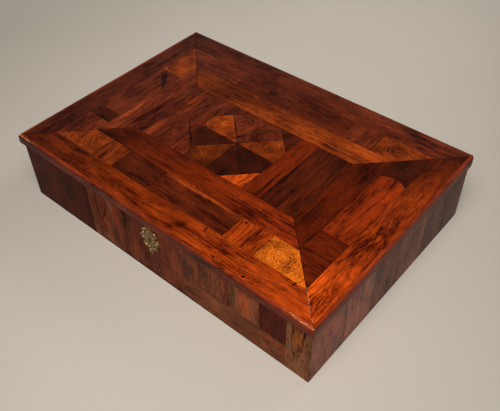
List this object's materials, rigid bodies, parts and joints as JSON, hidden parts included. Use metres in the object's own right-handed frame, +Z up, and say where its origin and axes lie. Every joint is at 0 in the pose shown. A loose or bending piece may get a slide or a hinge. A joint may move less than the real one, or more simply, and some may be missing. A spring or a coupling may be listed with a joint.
{
  "type": "letter writing box with drawer",
  "caption": "Flat rectangular parquetry box for letters and papers, with a hinged moulded lid over an open well, a lock, and a drawer in one end.",
  "frame": {"origin": "on the table, under the middle of the closed lid", "axes": "+X to the right along the front, +Y from the front to the back, +Z up"},
  "size_m": [0.566, 0.392, 0.123],
  "materials": {
    "oak": "plain oak, unpolished, browned with age",
    "side_veneer": "dark streaky veneer, waxed",
    "lid_veneer": "streaky red-brown veneer under a glossy polish",
    "lid_moulding": "cross-grained moulding under a glossy polish",
    "brass": "cast brass, dulled with age, bright on the high points",
    "iron": "wrought iron, black and slightly rusted"
  },
  "bodies": {
    "case": {"bottom_board": "oak", "bottom_nails": "iron", "case_back_board": "oak", "case_front_board": "oak", "case_left_upper_rail": "oak", "case_right_end_board": "oak", "drawer_stops": "oak", "dust_board": "oak", "escutcheon": "brass", "escutcheon_pins": "brass", "front_veneer": "side_veneer", "hinge_leaf_nails": "iron", "hinge_left_case_leaf": "iron", "hinge_left_pin": "iron", "hinge_right_case_leaf": "iron", "hinge_right_pin": "iron", "left_end_veneer": "side_veneer", "lock_case": "iron", "lock_drill_pin": "iron", "lock_nails": "iron", "right_end_veneer": "side_veneer"},
    "lid": {"hinge_left_lid_strap": "iron", "hinge_right_lid_strap": "iron", "hinge_strap_nails": "iron", "lid_board": "oak", "lid_inner_band_back": "lid_veneer", "lid_inner_band_front": "lid_veneer", "lid_inner_band_left": "lid_veneer", "lid_inner_band_right": "lid_veneer", "lid_middle_band_back": "lid_veneer", "lid_middle_band_front": "lid_veneer", "lid_middle_band_left": "lid_veneer", "lid_middle_band_right": "lid_veneer", "lid_moulding_front": "lid_moulding", "lid_moulding_left": "lid_moulding", "lid_moulding_right": "lid_moulding", "lid_octagon_corners": "lid_veneer", "lid_octagon_kites": "lid_veneer", "lid_outer_band_back": "lid_veneer", "lid_outer_band_front": "lid_veneer", "lid_outer_band_left": "lid_veneer", "lid_outer_band_right": "lid_veneer", "lid_strips_left": "lid_veneer", "lid_strips_right": "lid_veneer", "lock_link_nails": "iron", "lock_link_plate": "iron", "lock_staple": "iron"},
    "drawer": {"drawer_back": "oak", "drawer_bottom": "oak", "drawer_front": "oak", "drawer_front_veneer": "side_veneer", "drawer_side_back": "oak", "drawer_side_front": "oak", "pull_backplate": "brass", "pull_post": "iron"},
    "drawer_pull": {"pull_drop": "brass"},
    "lock_bolt": {"lock_bolt": "iron"}
  },
  "joints": [
    {"name": "lid_hinge", "type": "hinge", "parent": "case", "child": "lid", "pos_m": [0, 0.1925, 0.107], "axis": [-1, 0, 0], "range_deg": [0, 100]},
    {"name": "drawer_slide", "type": "slide", "parent": "case", "child": "drawer", "axis": [-1, 0, 0], "range_m": [0, 0.36]},
    {"name": "pull_swing", "type": "hinge", "parent": "drawer", "child": "drawer_pull", "pos_m": [-0.2814, 0.00325, 0.0326], "axis": [0, 1, 0], "range_deg": [0, 85]},
    {"name": "lock_bolt_slide", "type": "slide", "parent": "case", "child": "lock_bolt", "axis": [1, 0, 0], "range_m": [0, 0.006]}
  ]
}
